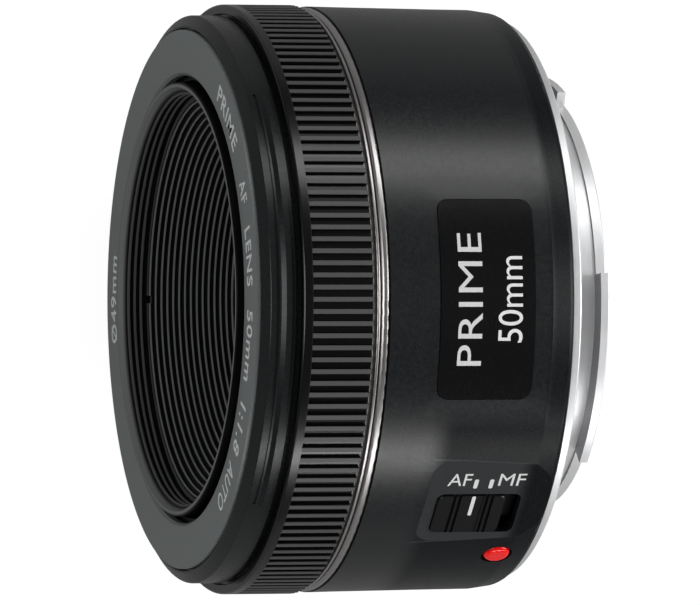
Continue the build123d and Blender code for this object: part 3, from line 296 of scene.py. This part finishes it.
def painted_barrel():
    """Satin black paint with a fine metallic speckle and a painted highlight on the switch facet; the front
    sleeve is bare plastic.
    """
    r = Recipe("black_plastic_satin", (0.006, 0.0068, 0.0075), 0.33, Specular_IOR_Level=0.5)
    x, along, z = r.xyz()
    sleeve = r.step(along, *SLEEVE_Y, 1.0, 0.0)
    shoulder = r.step(along, *SHOULDER_Y)
    round_axis = r.maths("ARCTAN2", x, z)
    height = r.maths("ADD", r.times(x, sin(SWITCH_ANGLE)), r.times(z, cos(SWITCH_ANGLE)))
    facet_painted_light = r.times(r.band(height, FACET_DISTANCE - 0.03 * MM, FACET_DISTANCE + 0.03 * MM, 0.02 * MM),
                    r.step(round_axis, SWITCH_ANGLE - 0.3, SWITCH_ANGLE - 0.2),
                    r.step(along, FACET_FRONT_Y, FACET_FRONT_Y + 0.4 * MM),
                    r.step(along, -6.0 * MM, -3.8 * MM, 1.0, 0.0))

    speck = r.step(r.noise(0.13 * MM, 1.0), 0.54, 0.74)
    cloud = r.noise(0.5 * MM, 3.0)
    base = r.mix(cloud, (0.0030, 0.0036, 0.0042), (0.0050, 0.0058, 0.0066))
    paint = r.mix(speck, base, (0.018, 0.021, 0.024))
    # painted light: the switch facet is painted paler than the paint round it, for the light it catches,
    # fading out towards the rear
    paint = r.mix(facet_painted_light, paint, (0.0330, 0.0360, 0.0380))
    r.colour(r.mix(sleeve, paint, (0.0100, 0.0110, 0.0115)))
    r.rough(r.maths("SUBTRACT", r.step(cloud, 0.2, 0.8, 0.29, 0.35), r.times(sleeve, 0.04)))
    r.bump(r.noise(0.16 * MM, 2.0), 0.004 * MM)
    turning = r.noise(0.16 * MM, 2.0, r.turned())
    r.bump(r.times(turning, sleeve), 0.003 * MM)

    # near the switch, on the rear shoulder and on the sleeve the surface is duller
    near = r.times(r.step(round_axis, SWITCH_ANGLE - 0.42, SWITCH_ANGLE - 0.30),
                   r.step(along, FACET_FRONT_Y - 1.3 * MM, FACET_FRONT_Y + 2.4 * MM))
    dull = r.maths("MAXIMUM", r.times(near, 0.40), r.times(shoulder, 0.34))
    dull = r.maths("MAXIMUM", dull, r.times(sleeve, 0.22))
    r.feed(r.shader.inputs["Specular IOR Level"], r.maths("SUBTRACT", 0.5, dull))
    return r.material


def name_ring_finish():
    """Fine satin dark grey, turned."""
    r = Recipe("name_ring_grey", (0.03, 0.032, 0.032), 0.42, Specular_IOR_Level=0.6)
    lines = r.noise(0.06 * MM, 2.0, r.turned())
    grain = r.noise(0.08 * MM, 2.0)
    r.colour(r.mix(grain, (0.122, 0.134, 0.134), (0.170, 0.183, 0.183)))
    r.rough(r.step(lines, 0.3, 0.7, 0.38, 0.48))
    r.bump(grain, 0.004 * MM)
    r.bump(lines, 0.0015 * MM)
    return r.material


def inner_black_finish():
    """Black moulding of the funnel and inner barrel; the rim and the funnel's crests are painted paler, as
    painted highlights.
    """
    r = Recipe("inner_black", (0.004, 0.004, 0.0042), 0.4, Specular_IOR_Level=0.5)
    along = r.xyz()[1]
    grain = r.noise(0.12 * MM, 3.0)
    turns = r.maths("DIVIDE", r.maths("SUBTRACT", along, FUNNEL_FIRST_Y), FUNNEL_PITCH)
    place = r.maths("FRACT", turns)
    ridge = r.times(r.step(place, 0.0, 0.05), r.step(place, 0.30, 0.38, 1.0, 0.0))
    outside = r.step(r.radius(), THREAD_INNER_R, THREAD_INNER_R + 0.15 * MM)
    thread = r.times(outside, r.step(r.radius(), THREAD_CREST_R, THREAD_CREST_R + 0.1 * MM, 0.45, 0.0))
    crest_highlight = r.maths("MAXIMUM", r.maths("SUBTRACT", ridge, outside), thread)
    rim_highlight = r.times(r.step(along, *RIM_Y, 1.0, 0.0),
                  r.step(r.radius(), RIM_OUTER_R, RIM_OUTER_R + 0.15 * MM, 1.0, 0.0))
    # painted highlights: the funnel's ridge crests, the inner part of the filter thread and the rim's face
    # are painted pale grey
    ridges_highlighted = r.mix(crest_highlight, (0.0022, 0.0022, 0.0024), (0.130, 0.133, 0.135))
    r.colour(r.mix(rim_highlight, ridges_highlighted, (0.150, 0.152, 0.155)))
    r.rough(r.step(grain, 0.2, 0.8, 0.34, 0.44))
    r.feed(r.shader.inputs["Specular IOR Level"], r.step(crest_highlight, 0.0, 1.0, 0.08, 0.5))
    r.bump(grain, 0.006 * MM)
    return r.material


def ring_finish():
    """Focus ring: rib tops are satin grey, the roots and the ribs' sides painted black as painted shade, the
    front lip smooth and darker.
    """
    r = Recipe("ring_rib_plastic", (0.02, 0.02, 0.021), 0.4, Specular_IOR_Level=0.5)
    height = r.step(r.radius(), ring_high.x - 0.14 * MM, ring_high.x - 0.03 * MM)
    top = r.times(height, r.step(r.xyz()[1], LIP_Y, LIP_Y + 0.2 * MM))
    grain = r.noise(0.14 * MM, 3.0)
    cover = r.mix(grain, (0.042, 0.042, 0.043), (0.064, 0.064, 0.065))
    # painted shade: below the rib tops, in the roots and on the ribs' sides, the colour is near black; the
    # lip takes the same dark colour as its own
    r.colour(r.mix(top, (0.0025, 0.0026, 0.0028), cover))
    r.rough(r.step(top, 0.0, 1.0, 0.24, 0.50))
    r.bump(grain, 0.004 * MM)
    return r.material


def dark_chrome_finish():
    """Warm gunmetal plating on two rounded bands, with painted shade in the gap between them."""
    r = Recipe("dark_chrome", (0.55, 0.53, 0.52), 0.25, Metallic=1.0)
    x, along, z = r.xyz()
    lines = r.noise(0.2 * MM, 2.0, r.turned())
    plating = r.mix(lines, (0.40, 0.385, 0.38), (0.48, 0.465, 0.46))
    # painted shade: the gap between the bands is painted near black
    r.colour(r.mix(r.band(along, *TRIM_GAP_Y, 0.03 * MM), plating, (0.02, 0.02, 0.02)))
    r.rough(r.step(lines, 0.3, 0.7, 0.32, 0.38))

    # the bands' roundness comes from the place along the axis, so that it is even all round
    def lean_on(band):
        front_start, front_end, rear_start, rear_end = band
        return r.maths("SUBTRACT", r.ramp(along, front_end, front_start), r.ramp(along, rear_start, rear_end))

    ahead = r.ramp(along, -24.62 * MM, -24.63 * MM)
    lean = r.maths("ADD", r.times(lean_on(TRIM_FRONT_BAND), ahead),
                   r.times(lean_on(TRIM_REAR_BAND), r.maths("SUBTRACT", 1.0, ahead)))
    lean = r.times(lean, 0.97)
    outward = r.maths("SQRT", r.maths("SUBTRACT", 1.0, r.times(lean, lean)))
    outward = r.maths("DIVIDE", outward, r.radius())
    normal = r.nodes.new("ShaderNodeCombineXYZ")
    for socket, value in zip(normal.inputs, (r.times(x, outward), r.times(lean, -1.0), r.times(z, outward))):
        r.feed(socket, value)
    turn = r.nodes.new("ShaderNodeVectorTransform")
    turn.vector_type, turn.convert_from, turn.convert_to = "NORMAL", "OBJECT", "WORLD"
    r.links.new(normal.outputs[0], turn.inputs[0])
    r.links.new(turn.outputs[0], r.shader.inputs["Normal"])
    return r.material


def gloss_black_finish():
    """Clear-coated black plate."""
    r = Recipe("gloss_black", (0.0025, 0.0025, 0.0028), 0.16, Specular_IOR_Level=0.5,
               Coat_Weight=0.4, Coat_Roughness=0.12)
    waves = r.noise(6 * MM, 2.0)
    dust = r.noise(0.2 * MM, 2.0)
    r.colour(r.mix(dust, (0.0020, 0.0020, 0.0022), (0.0032, 0.0032, 0.0036)))
    r.rough(r.step(dust, 0.3, 0.7, 0.19, 0.25))
    r.bump(waves, 0.02 * MM)
    return r.material


def red_finish():
    """Glossy red index bead."""
    r = Recipe("index_red", (0.8, 0.006, 0.008), 0.13)
    cloud = r.noise(0.6 * MM, 2.0)
    r.colour(r.mix(cloud, (0.86, 0.004, 0.004), (0.98, 0.012, 0.010)))
    r.bump(cloud, 0.01 * MM)
    return r.material


def mount_finish():
    """Turned and satin-polished stainless steel, with painted shade on the faces turned to the front."""
    r = Recipe("mount_metal", (0.8, 0.8, 0.81), 0.4, Metallic=0.6, Anisotropic=0.35)
    lines = r.noise(0.045 * MM, 3.0, r.turned())
    cloud = r.noise(2.5 * MM, 3.0)
    bright = r.mix(lines, (0.78, 0.785, 0.80), (0.90, 0.90, 0.905))
    facing = r.nodes.new("ShaderNodeSeparateXYZ")
    r.links.new(r.nodes.new("ShaderNodeTexCoord").outputs["Normal"], facing.inputs[0])
    # painted shade: faces turned to the front (-Y) are painted dark grey
    front = r.step(facing.outputs["Y"], -0.8, -0.4, 1.0, 0.0)
    r.colour(r.mix(front, bright, (0.16, 0.16, 0.165)))
    r.rough(r.maths("ADD", r.step(lines, 0.3, 0.7, 0.34, 0.42), r.step(cloud, 0.3, 0.7, 0.0, 0.06)))
    r.bump(lines, 0.0012 * MM)
    return r.material


def metal(name, low, high, rough, grain_size):
    """Plain metal with slight variation."""
    r = Recipe(name, low, rough, Metallic=1.0)
    grain = r.noise(grain_size, 3.0)
    r.colour(r.mix(grain, low, high))
    r.rough(r.step(grain, 0.2, 0.8, rough * 0.8, rough * 1.25))
    r.bump(grain, grain_size * 0.01)
    return r.material


def plastic(name, low, high, rough, grain_size, depth_share=0.02, **sockets):
    """Moulded plastic or lacquer with a fine grain."""
    r = Recipe(name, low, rough, **sockets)
    grain = r.noise(grain_size, 3.0)
    r.colour(r.mix(grain, low, high))
    r.rough(r.step(grain, 0.2, 0.8, rough * 0.88, rough * 1.12))
    r.bump(grain, grain_size * depth_share)
    return r.material


def board_finish():
    """Green circuit board with paler copper tracks under the lacquer."""
    r = Recipe("board_green", (0.01, 0.09, 0.04), 0.35, Coat_Weight=0.3, Coat_Roughness=0.2)
    tracks = r.step(r.noise(1.6 * MM, 0.0), 0.49, 0.51)
    r.colour(r.mix(tracks, (0.008, 0.07, 0.03), (0.02, 0.14, 0.06)))
    r.bump(tracks, 0.02 * MM)
    return r.material


def glass_finish():
    """Coated optical glass: clear, with a violet reflection."""
    r = Recipe("lens_glass", (0.97, 0.98, 0.985), 0.02, Transmission_Weight=1.0, IOR=1.52,
               Specular_Tint=(0.62, 0.42, 1.0, 1.0), Coat_Weight=0.15, Coat_Roughness=0.02)
    film = r.noise(9 * MM, 1.0)
    r.colour(r.mix(film, (0.95, 0.975, 0.965), (0.98, 0.965, 0.985)))
    return r.material


def make_materials():
    """One finish for each of the record's material slots, and one for the switch's moving pieces."""
    return {
        "black_plastic_satin": painted_barrel(),
        "name_ring_grey": name_ring_finish(),
        "inner_black": inner_black_finish(),
        "ring_rib_plastic": ring_finish(),
        "dark_chrome": dark_chrome_finish(),
        "gloss_black": gloss_black_finish(),
        "index_red": red_finish(),
        "mount_metal": mount_finish(),
        "screw_steel": metal("screw_steel", (0.42, 0.42, 0.43), (0.6, 0.6, 0.6), 0.28, 0.2 * MM),
        "contact_gold": metal("contact_gold", (0.85, 0.58, 0.22), (0.95, 0.7, 0.32), 0.22, 0.15 * MM),
        "board_green": board_finish(),
        "chip_black": plastic("chip_black", (0.012, 0.012, 0.012), (0.022, 0.022, 0.022), 0.5, 0.1 * MM),
        "flex_amber": plastic("flex_amber", (0.42, 0.16, 0.02), (0.55, 0.22, 0.04), 0.3, 0.8 * MM),
        "gear_white": plastic("gear_white", (0.62, 0.61, 0.58), (0.72, 0.71, 0.68), 0.45, 0.2 * MM),
        "encoder_metal": metal("encoder_metal", (0.6, 0.6, 0.6), (0.75, 0.75, 0.74), 0.2, 0.3 * MM),
        "lens_glass": glass_finish(),
        "blade_black": plastic("blade_black", (0.012, 0.012, 0.013), (0.02, 0.02, 0.021), 0.42, 0.1 * MM),
        "switch_black": plastic("switch_black", (0.0030, 0.0032, 0.0033), (0.0046, 0.0048, 0.0050), 0.30,
                                0.1 * MM, Specular_IOR_Level=0.3),
    }


def dress_nodes(finishes):
    """Each CAD node's slots take the finish of the record's slot of the same name."""
    for name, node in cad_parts.items():
        for index, slot in enumerate(node.material_slots):
            key = slot.material.name.split(".")[0]
            if name in ("switch_knob", "switch_slider"):
                key = "switch_black"
            node.material_slots[index].link = "DATA"
            node.data.materials[index] = finishes[key]


# ---- printed marks ----------------------------------------------------------------------------
def add_piece(name, mesh, body, material):
    """Link a finished mesh as a piece that rides on a body."""
    piece = bpy.data.objects.new(name, mesh)
    bpy.context.scene.collection.objects.link(piece)
    mesh.materials.clear()
    mesh.materials.append(material)
    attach(piece, body)
    return piece


def text_mesh(text, cap_height, spacing=1.0, width=None, bold=0.0):
    """Letters as thin solids: x along the line from its middle, y up from the baseline."""
    curve = bpy.data.curves.new("text", "FONT")
    curve.body = text
    curve.resolution_u = 5
    curve.extrude = INK
    curve.offset = bold * cap_height
    curve.space_character = spacing
    curve.size = cap_height / 0.729      # the built-in face's capitals are 0.729 of its size
    holder = bpy.data.objects.new("text", curve)
    bpy.context.scene.collection.objects.link(holder)
    bpy.context.view_layer.update()
    graph = bpy.context.evaluated_depsgraph_get()
    mesh = bpy.data.meshes.new_from_object(holder.evaluated_get(graph))
    bpy.data.objects.remove(holder)
    bpy.data.curves.remove(curve)
    low = min(v.co.x for v in mesh.vertices)
    high = max(v.co.x for v in mesh.vertices)
    stretch = width / (high - low) if width else 1.0
    for vertex in mesh.vertices:
        vertex.co.x = (vertex.co.x - (low + high) / 2) * stretch
    return mesh


def wrap(mesh, place):
    """Carry a flat mesh onto a surface: place(x, y, z) gives the point for each vertex."""
    solid = bmesh.new()
    solid.from_mesh(mesh)
    bmesh.ops.remove_doubles(solid, verts=solid.verts, dist=0.001 * MM)
    long_edges = [e for e in solid.edges if e.calc_length() > 0.8 * MM]
    bmesh.ops.subdivide_edges(solid, edges=long_edges, cuts=2)
    bmesh.ops.triangulate(solid, faces=solid.faces)
    for vertex in solid.verts:
        vertex.co = place(*vertex.co)
    bmesh.ops.recalc_face_normals(solid, faces=solid.faces)
    solid.to_mesh(mesh)
    solid.free()
    return mesh


def on_face(baseline_r, angle):
    """Places on the name ring's front face, letters' tops outward, reading clockwise from the front."""
    def place(x, y, z):
        turn = angle + x / (baseline_r + 1.2 * MM)
        r = baseline_r + y
        return Vector((r * sin(turn), FACE_Y - z, r * cos(turn)))
    return place


def on_plate(baseline_y):
    """Places on the nameplate, letters' tops towards the front, reading from +X to -X."""
    def place(x, y, z):
        along = baseline_y - y
        taper = (along - plate_low.y) / (plate_high.y - plate_low.y)
        r = PLATE_TOP_R - PLATE_TAPER * taper + z
        return Vector((r * sin(-x / PLATE_TOP_R), along, r * cos(x / PLATE_TOP_R)))
    return place


def on_switch(distance, offset, along):
    """Places on the switch's facet or knob: x runs to the rear, y towards the top of the object."""
    outward = Vector((sin(SWITCH_ANGLE), 0, cos(SWITCH_ANGLE)))
    round_axis = Vector((cos(SWITCH_ANGLE), 0, -sin(SWITCH_ANGLE)))

    def place(x, y, z):
        return outward * (distance + z) + round_axis * (offset - y) + Vector((0, along + x, 0))
    return place


def bar_mesh(width, height, corner, thick=INK):
    """Flat bar with rounded ends, from its own middle."""
    solid = bmesh.new()
    outline = []
    for cx, cy, start in ((1, 1, 0), (-1, 1, 90), (-1, -1, 180), (1, -1, 270)):
        for step in range(5):
            turn = radians(start + step * 22.5)
            outline.append((cx * (width / 2 - corner) + corner * cos(turn),
                            cy * (height / 2 - corner) + corner * sin(turn)))
    bottom = [solid.verts.new((x, y, -thick)) for x, y in outline]
    face = solid.faces.new(bottom)
    grown = bmesh.ops.extrude_face_region(solid, geom=[face])
    for vertex in grown["geom"]:
        if isinstance(vertex, bmesh.types.BMVert):
            vertex.co.z = thick
    bmesh.ops.recalc_face_normals(solid, faces=solid.faces)
    mesh = bpy.data.meshes.new("bar")
    solid.to_mesh(mesh)
    solid.free()
    return mesh


def ink(name, colour, rough=0.5):
    """Printing ink, slightly uneven."""
    r = Recipe(name, colour, rough)
    cover = r.noise(0.25 * MM, 2.0)
    r.colour(r.mix(cover, tuple(0.88 * c for c in colour), tuple(1.06 * c for c in colour)))
    r.rough(r.step(cover, 0.3, 0.7, rough * 0.9, rough * 1.1))
    return r.material


def print_marks():
    """All generic lettering and index marks."""
    grey = ink("ink_grey", (0.66, 0.69, 0.69))
    white = ink("ink_white", (0.72, 0.72, 0.71))
    silver = ink("ink_silver", (0.62, 0.62, 0.62), 0.35)

    # word, middle in degrees from the top, width on the ring
    for word, angle, width in (("PRIME", -47.0, 9.6), ("AF", -25.5, 2.9), ("LENS", -9.8, 6.9),
                               ("50mm", 10.8, 8.4), ("1:1.8", 31.4, 6.6), ("AUTO", 49.0, 7.2)):
        mesh = text_mesh(word, 2.2 * MM, 1.1, width * MM, 0.012)
        name = "mark_ring_" + "".join(c for c in word if c.isalnum()).lower()
        add_piece(name, wrap(mesh, on_face(RING_BASELINE_R, radians(angle))), "housing",
                  grey)
    mesh = text_mesh("Ø49mm", 2.2 * MM, 1.1, 10.6 * MM, 0.012)
    add_piece("mark_ring_filter", wrap(mesh, on_face(RING_BASELINE_R, radians(180.0))), "housing",
              grey)

    mesh = text_mesh("PRIME", 3.1 * MM, 1.1, 15.4 * MM)
    add_piece("mark_plate_word", wrap(mesh, on_plate(-12.5 * MM)), "housing", silver)
    mesh = text_mesh("50mm", 3.1 * MM, 1.0, 10.0 * MM)
    add_piece("mark_plate_focal", wrap(mesh, on_plate(-7.65 * MM)), "housing", white)

    for name, word, ahead, width in (("mark_switch_auto", "AF", 12.75, 2.8),
                                     ("mark_switch_manual", "MF", 6.4, 3.2)):
        mesh = text_mesh(word, 2.05 * MM, 1.0, width * MM)
        place = on_switch(FACET_DISTANCE, -2.45 * MM, -ahead * MM)
        add_piece(name, wrap(mesh, place), "housing", white)
    for name, shift in (("mark_tick_auto", 0.0), ("mark_tick_manual", SWITCH_TRAVEL)):
        mesh = bar_mesh(0.5 * MM, 1.45 * MM, 0.2 * MM)
        place = on_switch(FACET_DISTANCE, -2.75 * MM, KNOB_Y + shift)
        add_piece(name, wrap(mesh, place), "housing", white)
    mesh = bar_mesh(0.45 * MM, 3.1 * MM, 0.2 * MM)
    offset = KNOB_OFFSET - KNOB_WIDTH / 2 + 1.65 * MM
    add_piece("mark_switch_line", wrap(mesh, on_switch(KNOB_VALLEY, offset, KNOB_Y + 0.2 * MM)), "switch",
              white)


# ---- the scene --------------------------------------------------------------------------------
make_camera()
make_world()
make_floor()
softbox("softbox_left", radians(-53), 0.6, (0.17, 0.9), 4.1, ahead=-0.15)
softbox("softbox_right", radians(62), 0.6, (0.09, 0.9), 9.0, ahead=-0.15)
softbox("softbox_front", radians(0), 0.45, (0.3, 0.5), 4.2, ahead=0.5)
softbox("softbox_rear", radians(0), 0.38, (0.3, 0.5), 6.0, ahead=-0.55)
bpy.context.scene.view_settings.view_transform = "Standard"

dress_nodes(make_materials())
print_marks()
